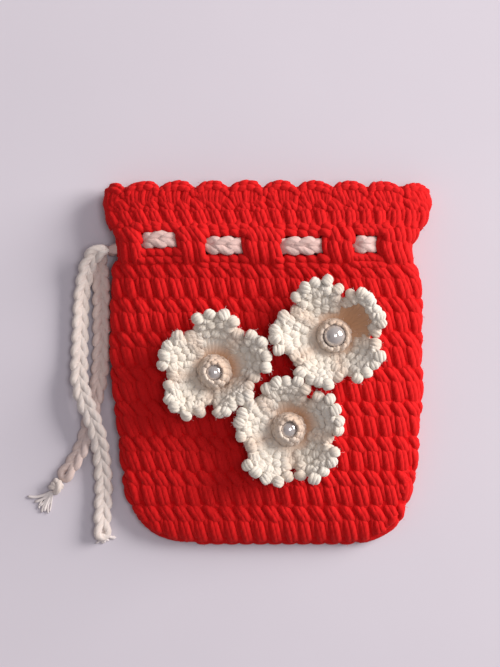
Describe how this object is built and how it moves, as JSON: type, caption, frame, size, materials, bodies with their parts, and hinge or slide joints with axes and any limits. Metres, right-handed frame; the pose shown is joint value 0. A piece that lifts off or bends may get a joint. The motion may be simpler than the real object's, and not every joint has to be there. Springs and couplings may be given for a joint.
{
  "type": "crocheted drawstring pouch",
  "caption": "Flat crocheted drawstring pouch with a scalloped mouth, a chain cord woven through its eyelet round, and ruffled flowers centred on pearl beads.",
  "frame": {"origin": "below the middle of the pouch without its loose cord ends, on the surface that it lies on", "axes": "+Y from the closed bottom to the mouth, +Z out of the front that carries the flowers, +X to the right seen from the front"},
  "size_m": [0.1143, 0.1098, 0.0196],
  "materials": {
    "red_yarn": "soft medium acrylic yarn",
    "cream_yarn": "soft medium acrylic yarn",
    "cord_yarn": "crocheted chain of soft yarn",
    "pearl": "pearlescent coating"
  },
  "bodies": {
    "root": {"pouch_body": "red_yarn", "drawstring": "cord_yarn", "drawstring_tail_front": "cord_yarn", "drawstring_tail_back": "cord_yarn", "drawstring_knot": "cord_yarn", "flower_left": "cream_yarn", "flower_right": "cream_yarn", "flower_low": "cream_yarn", "pearl_left": "pearl", "pearl_right": "pearl", "pearl_low": "pearl"}
  },
  "joints": []
}
